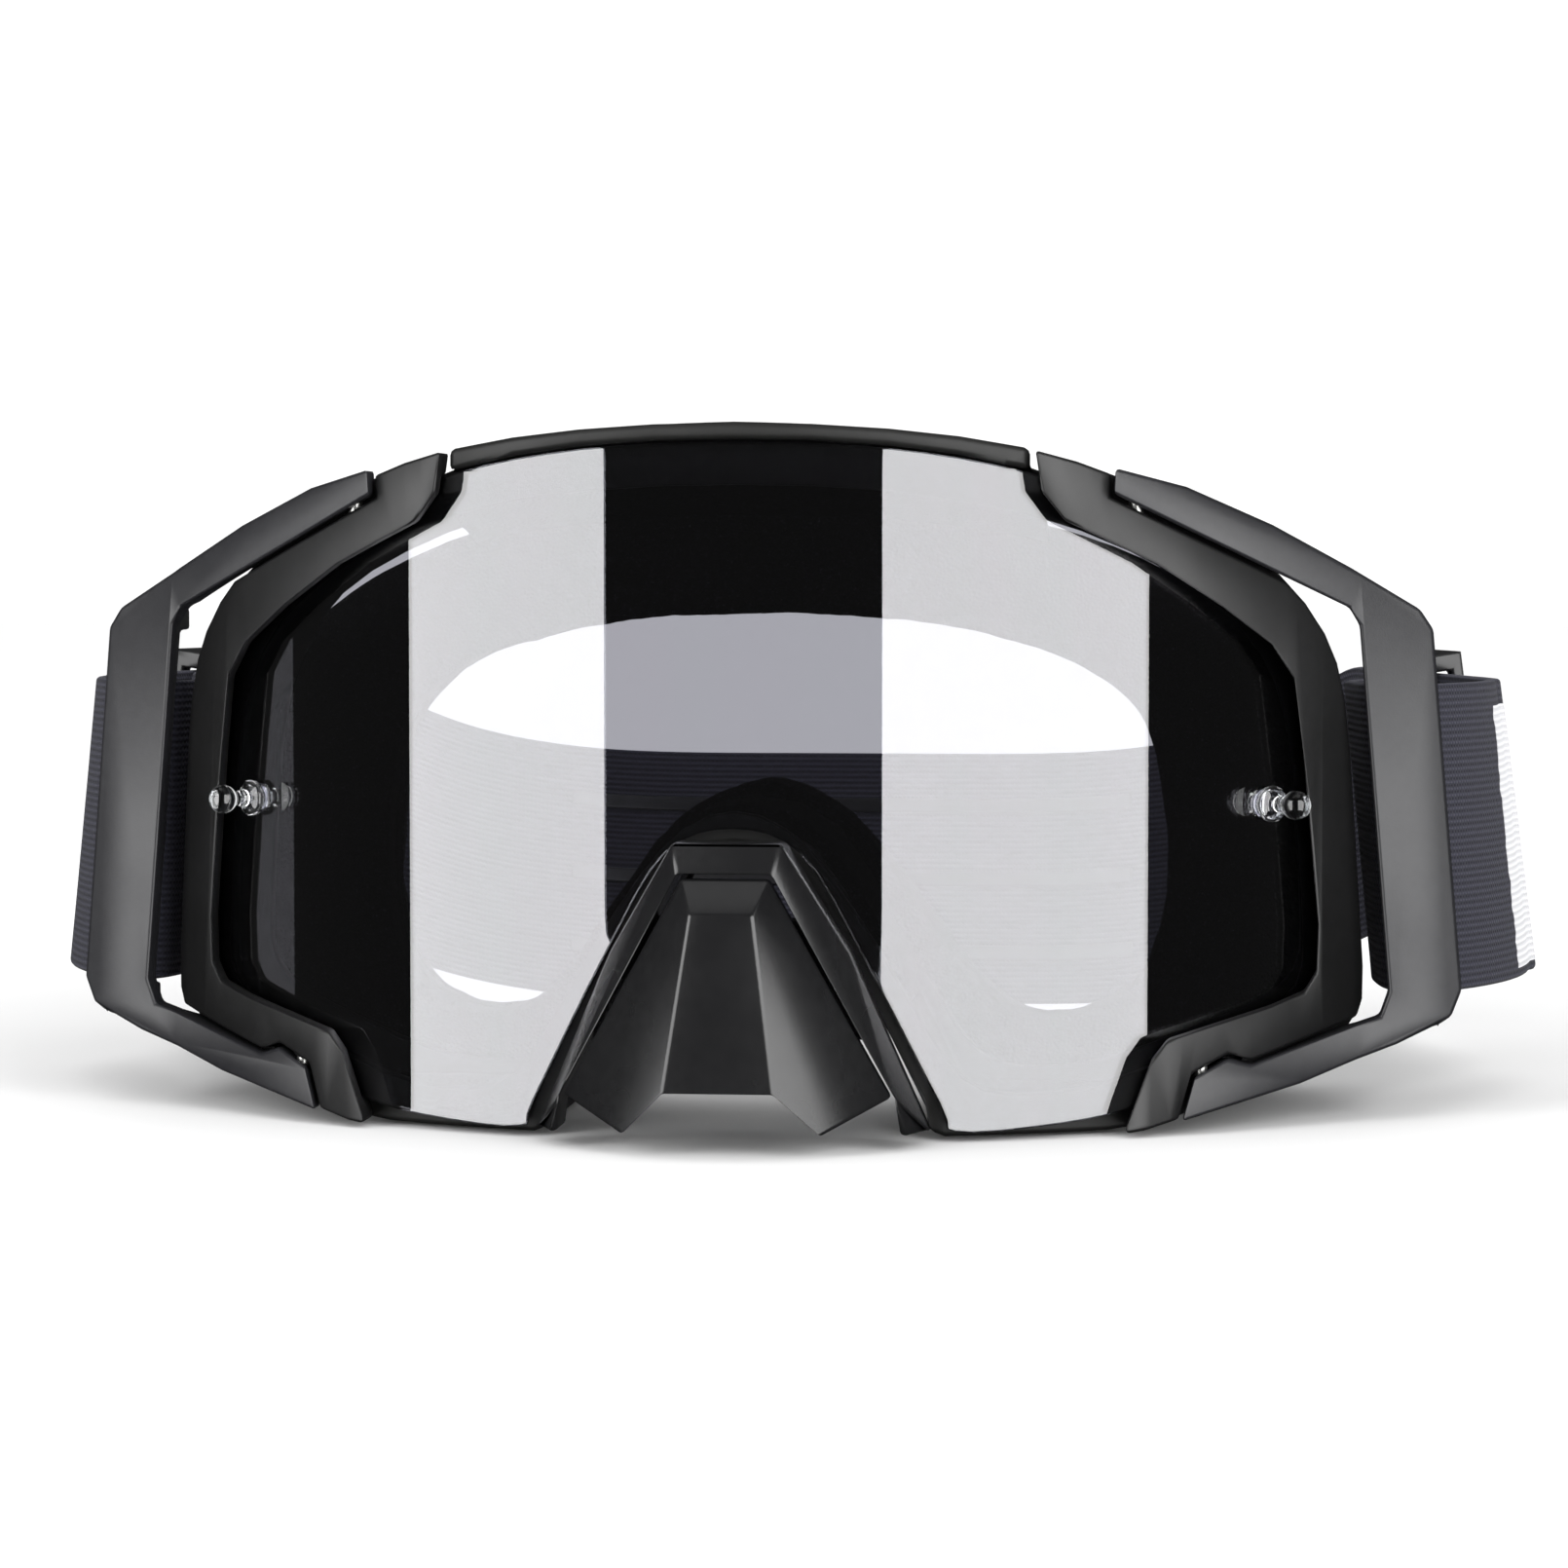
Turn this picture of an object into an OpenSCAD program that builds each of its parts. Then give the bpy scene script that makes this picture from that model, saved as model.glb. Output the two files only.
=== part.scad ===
// Motorcycle goggles: a flexible face frame behind a cylindrical lens, side covers that
// clamp the lens ends, a two-piece nose guard, and outriggers that carry the head strap.
// X is to the wearer's left, Y runs from the lens back to the head, Z is up, and the
// frame's two lower lobes and the back of the strap rest on Z = 0.

/* [Frame] */
// Width of the frame across its sides
frame_w = 163; // [140:1:176]
// Height of the frame from its resting lobes to its brow
frame_h = 92.4; // [78:0.2:112]
// Distance from the front of the lens to the forehead edge of the frame
frame_depth = 38; // [32:1:48]
// Radius of the face curve at the back of the frame
face_r = 132; // [120:1:160]
// Thickness of the frame's walls
wall_t = 2.4; // [1.8:0.1:3.2]
// Thickness of the ring that the lens is seated on
seat_t = 2.4; // [1.6:0.1:3.2]
// Angle at which the brow slopes down towards the forehead
brow_slope = 12; // [6:1:16]
// Angle at which the sides close in towards the temples
side_slope = 14; // [6:1:18]
// Height that the brow rim stands above the lens
rim_t = 1.8; // [1:0.1:2.6]

/* [Lens] */
// Radius of the lens cylinder
lens_r = 100; // [96:1:125]
// Thickness of the lens
lens_t = 1.4; // [1:0.1:2]
// Thickness of the sealing gasket under the lens
gasket_t = 1; // [0.6:0.1:1.6]

/* [Tear-off posts] */
// Distance of each post from the lens's side, along X
post_inset = 9.3; // [8:0.1:18]
// Height of the posts
post_z = 42.4; // [36:0.1:50]
// Diameter of a post's ball head
post_head_d = 3.9; // [3:0.1:5]
// Diameter of a post's shank where it passes through the lens
post_shank_d = 2.6; // [2:0.1:3]
// Distance from the lens to the middle of the ball head
post_reach = 5.2; // [4:0.1:7]

/* [Face foam] */
// Thickness of the foam layer that is bonded to the frame
foam_base_t = 6; // [4:0.5:8]
// Thickness of the softer middle layer
foam_mid_t = 4; // [3:0.5:7]
// Thickness of the fleece skin
foam_skin_t = 2; // [1:0.5:3]
// Thickness of the foam strips over the vents and the nose
vent_foam_t = 2; // [1:0.5:3]

/* [Side covers] */
// Thickness of a side cover over the lens
cover_t = 3.2; // [2.4:0.1:4]

/* [Nose guard] */
// Distance that the guard stands ahead of the lens
guard_reach = 17; // [12:0.5:22]
// Height of the guard's top edge
guard_h = 38.8; // [34:0.2:44]
// Width of the guard at its foot
guard_w = 51; // [44:0.5:58]
// Thickness of the guard's walls and of its front plate
guard_t = 2.2; // [1.6:0.1:3]
// Distance that the guard slides forward as it is pulled off
guard_pull = 25; // [10:1:40]

/* [Outriggers] */
// Width across the two outriggers at their widest
outrigger_w = 189.4; // [180:0.2:214]
// Width of an outrigger's front bar
bar_w = 9.8; // [8:0.1:12]
// Thickness of an outrigger's front bar
bar_t = 4.6; // [3.6:0.1:6]
// Distance from the front of the lens to the inner edge of the bars
bar_y = 30; // [26:0.5:36]
// Height of the bars' front face
bar_h = 49; // [44:0.5:56]
// Lean of the bars, with the lower end outwards
bar_lean = 4.9; // [0:0.1:8]
// Angle that a bar's front face is turned outwards
bar_turn = 20; // [10:1:30]
// Diameter of the inner rod that the strap is looped round
loop_rod_d = 4; // [3:0.2:5]
// Diameter of the hinge pins
pin_d = 1.8; // [1.4:0.1:2.2]

/* [Strap] */
// Width of the elastic strap
strap_w = 42; // [36:1:46]
// Thickness of the elastic strap
strap_t = 1.8; // [1.4:0.1:2.4]
// Height of the strap's lower edge at the outriggers
strap_low = 16; // [12:0.5:18]
// Distance from the front of the lens to the back of the strap loop
strap_back = 178; // [165:1:205]
// Lean of the strap's side runs, with the lower edge outwards
strap_lean = 8; // [0:0.5:9]
// Length of a strap slider along the strap
slider_l = 24; // [20:1:30]

/* [Hidden] */
$fn = 64;

far = 400;            // longer than any part of the goggles
eps = 0.01;
point = 0.1;          // size of the cubes that mark a hull's corners

// Clearances
cover_gap = 0.3;      // side cover or nose guard over the lens
edge_gap = 0.3;       // round the lens's edge
joint_gap = 0.55;     // round an outrigger's arms
pin_gap = 0.05;       // round a hinge pin
post_gap = 0.05;      // round a tear-off post's shank
seam_gap = 0.15;      // behind the nose guard's plate
slider_gap = 0.4;     // between the strap and its slider
foam_inset = 0.6;     // foam set in from the frame's edge

// The outlines are drawn for this width and height and follow the real ones.
drawn_w = 163;
drawn_h = 92.4;

black = "#26262a";
satin = "#3a3a3e";
smoke = [0.35, 0.35, 0.38, 0.45];

// Radii about the lens's vertical axis, which stands lens_r behind the lens.
seat_r = lens_r - lens_t - gasket_t;
cover_r_in = lens_r + cover_gap;
cover_r = cover_r_in + cover_t;
face_y = frame_depth + face_r;
mid_y = (guard_reach - strap_back - strap_t / 2) / 2;

// Right half of each outline, from the top down, seen from the front.
frame_half = [
  [0, 92.4], [20, 91.6], [37, 89.3], [50, 85.2], [61, 79.6], [70, 72.8], [76, 65],
  [78.8, 56], [80.2, 40], [81.5, 20], [80.6, 13], [76, 8.5], [66, 4.6], [56, 1.4],
  [48, 0], [27, 0], [24.5, 4], [15.2, 23], [8, 35.2], [0, 38.4]
];
lens_half = [
  [0, 90], [20, 89.2], [37, 86.3], [50, 81.4], [61, 75.2], [69, 68.2], [73.8, 60],
  [75.8, 50], [77.2, 34], [78, 20], [76, 14], [68, 10], [58, 6.2], [50, 2.8],
  [40, 1.3], [28.5, 0.9], [26.5, 4.5], [16.6, 24], [8.8, 37], [0, 40.2]
];
seat_half = [
  [0, 84.5], [20, 83.7], [37, 80.8], [50, 76], [60, 70], [67, 62.5], [70.6, 53],
  [72, 40], [73, 24], [72, 17.5], [67, 13.4], [58, 10], [48, 6.6], [40, 5.4],
  [32, 6], [26.5, 11], [18.6, 24.5], [12.5, 33.6], [6.5, 40.2], [0, 42.4]
];
eye_half = [
  [0, 67.4], [24, 65.8], [42, 60.5], [51, 53], [54, 42], [54.5, 28], [51, 17],
  [43, 12.4], [34, 13], [27, 19.5], [19.5, 30], [11, 40], [0, 44.6]
];
// Lens area that the side covers leave open
window_half = [
  [0, 110], [38, 110], [38.6, 89], [39.4, 83.6], [42.4, 79.8], [48, 77.2], [54, 74.3],
  [62.5, 68.7], [69, 63.6], [72, 59], [73.2, 49.5], [74.5, 36], [75.4, 26], [75.2, 19.7],
  [73.6, 17.2], [69, 15.6], [61.5, 13.7], [55.6, 12.1], [53.6, 9.6], [50.4, 1],
  [50.2, -12], [0, -12]
];

// --- Outline functions ---
function fitted(pts) = [for (p = pts) [p[0] * frame_w / drawn_w, p[1] * frame_h / drawn_h]];
function both_sides(half) = concat(half, [for (i = [len(half) - 1:-1:0])
  if (half[i][0] > 0) [-half[i][0], half[i][1]]]);
function unit(v) = v / norm(v);
function right_of(a, b) = let (d = unit(b - a)) [d[1], -d[0]];
// Moves each side of a clockwise outline inwards by d, or outwards where d is negative.
function inset(pts, d) = let (n = len(pts)) [for (i = [0:n - 1])
  let (a = right_of(pts[(i + n - 1) % n], pts[i]), b = right_of(pts[i], pts[(i + 1) % n]))
  pts[i] + (a + b) * d / (1 + a * b)];
// Catmull-Rom curve through all but the first and last points, which only steer it.
function between(a, b, c, d, t) = 0.5 * (2 * b + (c - a) * t + (2 * a - 5 * b + 4 * c - d) * t * t
  + (3 * b - a - 3 * c + d) * t * t * t);
function curve(pts, steps) = concat([for (i = [1:len(pts) - 3], k = [0:steps - 1])
  between(pts[i - 1], pts[i], pts[i + 1], pts[i + 2], k / steps)], [pts[len(pts) - 2]]);
// Smooth half outline that never dips below the plane the goggles rest on
function smooth_half(half, steps) = let (last = len(half) - 1) [for (p = curve(concat(
  [[-half[1][0], half[1][1]]], half, [[-half[last - 1][0], half[last - 1][1]]]), steps))
  [p[0], max(0, p[1])]];

frame_line = both_sides(smooth_half(fitted(frame_half), 2));
lens_line = both_sides(smooth_half(fitted(lens_half), 2));
seat_line = both_sides(smooth_half(fitted(seat_half), 2));
eye_line = both_sides(smooth_half(fitted(eye_half), 2));
window_line = both_sides(fitted(window_half));

// --- Solids that the parts are cut from ---
module centred() { translate([0, mid_y, 0]) children(); }
module along_y(line, y0, y1) {
  translate([0, y1, 0]) rotate([90, 0, 0]) linear_extrude(y1 - y0) polygon(line);
}
module lens_cylinder(r) {
  translate([0, lens_r, -far / 2]) cylinder(r = r, h = far, $fn = 180);
}
module face_cylinder(r) {
  translate([0, face_y, -far / 2]) cylinder(r = r, h = far, $fn = 180);
}
module lens_shell(r_in, r_out) {
  difference() {
    lens_cylinder(r_out);
    lens_cylinder(r_in);
    translate([-far / 2, lens_r, -far / 2]) cube(far);
  }
}
module face_shell(r_in, r_out) {
  difference() {
    face_cylinder(r_out);
    face_cylinder(r_in);
    translate([-far / 2, face_y, -far / 2]) cube(far);
  }
}
// The frame's outer form, moved in by d: a prism whose brow and sides close in to the rear.
module face_block(d) {
  line = inset(frame_line, d);
  side = frame_w / 2 - d;
  bend_y = lens_r - sqrt(pow(seat_r, 2) - pow(side, 2));
  rear_side = side - (far / 4 - bend_y) * tan(side_slope);
  upper = [for (p = line) if (p[1] > frame_h / 2) p];
  intersection() {
    along_y(line, -far / 4, far / 4);
    translate([0, 0, -far / 4]) linear_extrude(far) polygon([
      [-side, -far / 4], [-side, bend_y], [-rear_side, far / 4],
      [rear_side, far / 4], [side, bend_y], [side, -far / 4]
    ]);
    translate([0, 0, frame_h - d]) rotate([-brow_slope, 0, 0]) translate([0, 0, d - frame_h])
      along_y(concat([for (p = upper) if (p[0] >= 0) p], [[side, -far / 4], [-side, -far / 4]],
        [for (p = upper) if (p[0] < 0) p]), -far / 4, far / 2);
  }
}

// --- Frame ---
module frame() {
  color(black) difference() {
    union() {
      difference() {
        intersection() {
          face_block(0);
          lens_cylinder(seat_r);
        }
        face_cylinder(face_r);
        frame_hollow();
        along_y(seat_line, -far / 8, lens_r);
        along_y(eye_line, 0, far / 4);
        vent_slots();
      }
      brow_rim();
    }
  }
}
// Space between the lens seat and the flange that carries the foam
module frame_hollow() {
  difference() {
    intersection() {
      face_block(wall_t);
      lens_cylinder(seat_r - seat_t);
    }
    face_cylinder(face_r + wall_t);
  }
}
// Lip that stands over the lens's top edge, between the side covers
module brow_rim() {
  rim_side = 38 * frame_w / drawn_w - edge_gap;
  intersection() {
    difference() {
      along_y(frame_line, -far / 8, lens_r);
      along_y(inset(lens_line, -edge_gap), -far / 8, lens_r);
    }
    lens_shell(seat_r - eps, lens_r + rim_t);
    translate([-rim_side, -far / 8, frame_h * 0.75]) cube([2 * rim_side, far / 4, frame_h]);
  }
}
vent_l = 14;
vent_w = 7;
vent_y = frame_depth * 0.52;
vent_step = 26;
module vent_slots() {
  for (i = [-1:1]) vent_slot([i * vent_step, vent_y, frame_h * 0.75]);
  for (side = [-1, 1]) vent_slot([side * (guard_w / 2 + vent_step * 0.62), vent_y * 1.25, -eps]);
}
module vent_slot(at) {
  reach = (vent_l - vent_w) / 2;
  translate(at) {
    for (end = [-1, 1]) translate([end * reach, 0, 0]) cylinder(d = vent_w, h = frame_h * 0.25);
    translate([-reach, -vent_w / 2, 0]) cube([2 * reach, vent_w, frame_h * 0.25]);
  }
}

// --- Lens, gasket and tear-off posts ---
module lens() {
  color(smoke) difference() {
    intersection() {
      along_y(lens_line, -far / 8, lens_r);
      lens_shell(lens_r - lens_t, lens_r);
    }
    for (side = [-1, 1]) on_post(side) cylinder(d = post_shank_d + 2 * post_gap, h = far, center = true);
  }
}
module lens_gasket() {
  color(black) intersection() {
    difference() {
      along_y(inset(lens_line, edge_gap), -far / 8, lens_r);
      along_y(seat_line, -far / 4, 2 * lens_r);
    }
    lens_shell(seat_r, lens_r - lens_t);
    difference() {
      translate([-far / 2, -far / 2, -far / 2]) cube(far);
      for (side = [-1, 1]) on_post(side) cylinder(r = post_rivet_r + edge_gap, h = far, center = true);
    }
  }
}
// Frame whose origin is on the lens's outer face at a post, with Z pointing out of the lens
module on_post(side) {
  turn = asin(post_x / lens_r);
  translate([0, lens_r, post_z]) rotate([0, 0, side * turn]) rotate([90, 0, 0])
    translate([0, 0, lens_r]) children();
}
lens_side = lens_half[9][0] * frame_w / drawn_w;   // the lens's widest point
post_x = lens_side - post_inset;
post_collar_t = 1.1;
post_rivet_t = 0.8;
post_rivet_r = post_shank_d * 0.75;
module tear_off_post(side) {
  color("gainsboro") on_post(side) {
    translate([0, 0, -lens_t - post_gap - post_rivet_t])
      cylinder(r = post_rivet_r, h = post_rivet_t);
    translate([0, 0, -lens_t - 2 * post_gap]) cylinder(d = post_shank_d, h = lens_t + post_collar_t);
    translate([0, 0, post_gap]) cylinder(d = post_shank_d + 2.2, h = post_collar_t);
    cylinder(d = post_head_d * 0.55, h = post_reach);
    translate([0, 0, post_reach]) sphere(d = post_head_d);
  }
}

// --- Foam ---
module foam_layer(r_in, r_out) {
  intersection() {
    difference() {
      face_block(foam_inset);
      along_y(eye_line, -far / 4, far / 2);
    }
    face_shell(r_in, r_out);
  }
}
module face_foam_base() { color("#2c2c2e") foam_layer(face_r - foam_base_t, face_r); }
module face_foam_mid() {
  color("#1f1f21") foam_layer(face_r - foam_base_t - foam_mid_t, face_r - foam_base_t);
}
module face_foam_skin() {
  color("#151516") foam_layer(face_r - foam_base_t - foam_mid_t - foam_skin_t,
    face_r - foam_base_t - foam_mid_t);
}
// Strip that lines the inside of the frame's walls between two heights
module foam_strip(half_w, z_low, z_high, x_in = 0) {
  y0 = vent_y - vent_w * 1.2;
  difference() {
    intersection() {
      face_block(wall_t);
      lens_cylinder(seat_r - seat_t);
      translate([-half_w, y0, z_low]) cube([2 * half_w, vent_w * 3.2, z_high - z_low]);
    }
    face_block(wall_t + vent_foam_t);
    face_cylinder(face_r + wall_t);
    if (x_in > 0) translate([-x_in, y0 - 1, z_low - 1])
      cube([2 * x_in, vent_w * 4, z_high - z_low + 2]);
  }
}
module vent_foam_top() {
  color("#303033") foam_strip(vent_step * 1.5, frame_h * 0.7, frame_h * 1.1);
}
module vent_foam_bottom() {
  color("#303033") foam_strip(vent_step * 1.9, -1, frame_h * 0.09, guard_w / 2 + 7);
}
module nose_foam() {
  color("#1b1b1d") foam_strip(guard_w * 0.42, frame_h * 0.16, frame_h * 0.5);
}

// --- Side covers ---
module side_cover(side) {
  color(satin) difference() {
    intersection() {
      union() {
        lens_shell(cover_r_in, cover_r);
        difference() {
          lens_shell(seat_r, cover_r_in + eps);
          along_y(inset(lens_line, -edge_gap), -far / 8, 2 * lens_r);
        }
      }
      along_y(frame_line, -far / 8, lens_r);
      half_space(side);
    }
    along_y(window_line, -far / 4, 2 * lens_r);
    difference() {
      along_y(inset(arm_line(side), -joint_gap), -far / 8, lens_r);
      lens_cylinder(cover_r_in);
    }
    pivot(side, pin_d);
  }
}
module half_space(side) {
  translate([side > 0 ? 0 : -far, -far / 2, -far / 2]) cube(far);
}

// --- Outriggers ---
arm_back_r = cover_r_in + cover_t / 4;
arm_rise = 2.2;        // how far an arm's tip stands proud of its side cover
arm_t = 6.5;           // thickness of an arm along Y
bracket_t = 3;         // thickness of the brackets that hold the loop rod
rod_back = 14;         // distance from the bars' inner edge back to the loop rod
half_o = outrigger_w / 2;
bar_low = strap_low + 1;
bar_high = bar_low + bar_h;
function outer_x(z) = half_o - (z - bar_low) * tan(bar_lean);
function inner_x(z) = outer_x(z) - bar_w;
function mirrored(line, side) = side > 0 ? line
  : [for (i = [len(line) - 1:-1:0]) [-line[i][0], line[i][1]]];
// Outline of an outrigger from the front: upper tip, arm, bar, lower arm and lower tip
function arm_line(side) = mirrored(concat(
  fitted([[48.8, 86.6], [57.8, 84.3], [69, 79.4], [79.5, 73.7]]),
  [[outer_x(bar_high) - 1.8, bar_high + 2.2], [outer_x(bar_high), bar_high - 0.5],
   [outer_x(bar_low), bar_low], [outer_x(bar_low) - 1.4, bar_low - 3.6]],
  fitted([[86, 9.9], [73, 5.3], [57.6, 1.5], [59.2, 7.2], [63.5, 9.3], [66.5, 8.2]]),
  [[inner_x(bar_low) - 1.2, bar_low - 3.4], [inner_x(bar_low), bar_low],
   [inner_x(bar_high), bar_high], [inner_x(bar_high) - 1.4, bar_high + 2.4]],
  fitted([[57.3, 79], [48.6, 83.3]])), side);
function lens_y(r, x) = lens_r - sqrt(r * r - x * x);
tip_x = 47.5 * frame_w / drawn_w;
module arm_band(side) {
  tip_y = lens_y(cover_r + arm_rise, tip_x);
  in_x = inner_x(bar_high);
  out_x = half_o + 1;
  out_y = bar_y + (out_x - in_x) * tan(bar_turn);
  depth = bar_t / cos(bar_turn);
  translate([0, 0, -far / 4]) linear_extrude(far / 2) polygon(mirrored([
    [tip_x, tip_y], [tip_x, tip_y + arm_t], [in_x - 3, bar_y + depth + 0.6],
    [in_x, bar_y + depth], [out_x, out_y + depth], [out_x, out_y], [in_x, bar_y]
  ], side));
}
module outrigger(side) {
  color(satin) difference() {
    union() {
      difference() {
        intersection() {
          along_y(arm_line(side), -far / 8, lens_r);
          arm_band(side);
        }
        lens_cylinder(arm_back_r);
      }
      mirror_x(side) {
        loop_bracket(bar_high - 1);
        loop_bracket(bar_low - bracket_t - 1.6);
        rod(rod_at(bar_low - bracket_t - 1.4), rod_at(bar_high + bracket_t - 1.2), loop_rod_d);
      }
    }
    pivot(side, pin_d + 2 * pin_gap);
  }
}
module mirror_x(side) {
  if (side > 0) children();
  else mirror([1, 0, 0]) children();
}
// Point on the axis of the loop rod at height z
function rod_at(z) = [outer_x(z) - 5.5, bar_y + rod_back, z];
module loop_bracket(z) {
  at = rod_at(z);
  translate([0, 0, z]) linear_extrude(bracket_t) polygon([
    [inner_x(z) + 0.5, bar_y + 2], [at[0] - 3.2, at[1] + 1], [at[0] - 1.6, at[1] + 3],
    [at[0] + 1.6, at[1] + 3], [at[0] + 3.2, at[1] + 1], [outer_x(z) - 3.6, bar_y + 4.5]
  ]);
}
module rod(p, q, d) {
  v = q - p;
  translate(p) rotate([0, acos(v[2] / norm(v)), atan2(v[1], v[0])]) cylinder(d = d, h = norm(v));
}

// Hinge axis of an outrigger: it passes through both tips, inside the side cover's thickness.
pivot_r = cover_r_in + cover_t * 0.625;
pivot_top = let (x = 51.3 * frame_w / drawn_w) [x, lens_y(pivot_r, x), 82 * frame_h / drawn_h];
pivot_foot = let (x = 60 * frame_w / drawn_w) [x, lens_y(pivot_r, x), 7.6 * frame_h / drawn_h];
pivot_up = unit(pivot_top - pivot_foot);
pin_in_cover = 3.6;
pin_in_arm = 2.4;
module pivot(side, d) {
  mirror_x(side) {
    rod(pivot_top - pivot_up * pin_in_cover, pivot_top + pivot_up * pin_in_arm, d);
    rod(pivot_foot - pivot_up * pin_in_arm, pivot_foot + pivot_up * pin_in_cover, d);
  }
}
module pivot_pins(side) { color("silver") pivot(side, pin_d); }

// --- Nose guard ---
// Points are drawn for a guard 51 wide, 38.8 high and 17 deep, and follow the real sizes.
function guard_point(p, side = 1) =
  [side * p[0] * guard_w / 51, p[1] * guard_reach / 17, p[2] * guard_h / 38.8];
function across(pts) = concat([for (p = pts) guard_point(p)],
  [for (i = [len(pts) - 1:-1:0]) guard_point(pts[i], -1)]);
function flat(pts) = [for (p = pts) [p[0], p[2]]];
// Right half of the front plate's corners, from its top round to its foot
plate_top = [5.6, -9, 34.4];
plate_side = [21, -7, 6.6];
plate_prong = [12.6, -13.5, 2.4];
plate_foot = [7, -17, 8];
plate_brow = [4, -13, 30.2];
plate_edge = across([plate_top, plate_side, plate_prong, plate_foot]);
rim_edge = across([[7, -6.5, 38.8], [15.4, -3, 24.8], [25.5, 0.5, 1.6]]);
rim_lip = across([[6, -9.2, 34.9], [21.4, -7.2, 6.4], [23.3, -5, 1]]);
plate_boss = [6.5, 20];
web_y = -3.6;
web_t = 2;
module nose_guard_plate() {
  n = len(plate_edge);
  front = concat(plate_edge, [guard_point(plate_brow), guard_point(plate_brow, -1)]);
  m = len(front);
  faces = [[0, 8, 9], [0, 9, 7], [8, 3, 4], [8, 4, 9], [0, 1, 8], [1, 2, 8], [2, 3, 8],
    [9, 4, 5], [9, 5, 6], [9, 6, 7]];
  color(satin) polyhedron(
    concat(front, [for (p = front) p + [0, guard_t, 0]]),
    concat(faces, [for (f = faces) [f[2] + m, f[1] + m, f[0] + m]],
      [for (i = [0:n - 1]) let (k = (i + 1) % n) each [[k, i, i + m], [k, i + m, k + m]]]));
}
module nose_guard() {
  tunnel = [for (p = inset(flat(rim_lip), -seam_gap)) p[1] < 2 ? [p[0], -guard_h / 4] : p];
  color(satin) difference() {
    union() {
      intersection() {
        hull() for (p = concat(rim_edge, rim_lip), back = [0, 20])
          translate(p + [0, back, 0]) cube(point, center = true);
        difference() {
          along_y(flat(rim_edge), -far / 8, far / 8);
          along_y(tunnel, -far / 4, far / 4);
        }
      }
      intersection() {
        along_y(inset(flat(rim_edge), 1), web_y, web_y + web_t);
        translate([-guard_w / 2, -far / 8, guard_h * 0.35]) cube([guard_w, far / 4, guard_h * 0.4]);
      }
      for (side = [-1, 1]) translate([side * plate_boss[0], web_y + eps, plate_boss[1]])
        rotate([90, 0, 0]) cylinder(d = 3, h = guard_reach * 0.38);
    }
    lens_cylinder(cover_r_in);
  }
}

// --- Strap ---
// Right half of the strap's middle line from above. It leaves the slider, is looped round
// the rod of the outrigger, comes back through the slider and runs round the head.
rod_mid = let (p = rod_at(strap_low + strap_w / 2)) [p[0], p[1]];
turn_r = loop_rod_d / 2 + slider_gap + strap_t / 2;
run_start = rod_mid + [14.7, 38];
run_end = rod_mid + [-1, 94];
run_dir = unit(run_end - run_start);
run_out = [run_dir[1], -run_dir[0]];
slider_at = (run_start + run_end) / 2;
layer_gap = strap_t + 2.3;
inner_start = slider_at - run_out * layer_gap + run_dir * 2;
turn_in = 213;
turn_out = 317;
inner_route = curve([
  inner_start + run_dir * 10, inner_start, inner_start - run_dir * 16,
  rod_mid + [5, 40], rod_mid + [-1.6, 28], rod_mid + [-5, 18], rod_mid + [-5, 9],
  rod_mid + turn_r * [cos(turn_in), sin(turn_in)], rod_mid + turn_r * [1, -1]
], 4);
turn_route = [for (a = [turn_in + 15:15:turn_out - 5]) rod_mid + turn_r * [cos(a), sin(a)]];
outer_route = curve([
  rod_mid + turn_r * [-1, -1], rod_mid + turn_r * [cos(turn_out), sin(turn_out)],
  rod_mid + [8.6, 6], rod_mid + [13, 16], rod_mid + [15, 27], run_start, run_end
], 4);
end_route = concat(inner_route, turn_route, outer_route, [slider_at]);
back_half = concat([slider_at], curve([
  run_start, run_end, [70, strap_back - 19], [45, strap_back - 6.5], [20, strap_back - 1],
  [0, strap_back], [-20, strap_back - 1]
], 5));
back_route = concat(back_half, [for (i = [len(back_half) - 2:-1:0])
  [-back_half[i][0], back_half[i][1]]]);
// 0 along the sides, rising to 1 at the back of the loop
function settled(p) = let (t = min(1, max(0, (p[1] - run_end[1]) / (strap_back - run_end[1]))))
  t * t * (3 - 2 * t);
function middle_z(p) = strap_w / 2 + strap_low * (1 - settled(p));
// Lean of the band at p: that of the loop rod there, that of the slider along the side run
function lean_at(p) =
  let (s = p[0] < 0 ? -1 : 1, t = min(1, max(0, (p[1] - rod_mid[1] - 4) / 30)),
    turned = t * t * (3 - 2 * t), rod_lean = [tan(bar_lean), 0], run_lean = run_out * tan(strap_lean),
    lean = (rod_lean * (1 - turned) + run_lean * turned) * (1 - settled(p)))
  unit([-s * lean[0], -lean[1], 1]);
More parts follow.
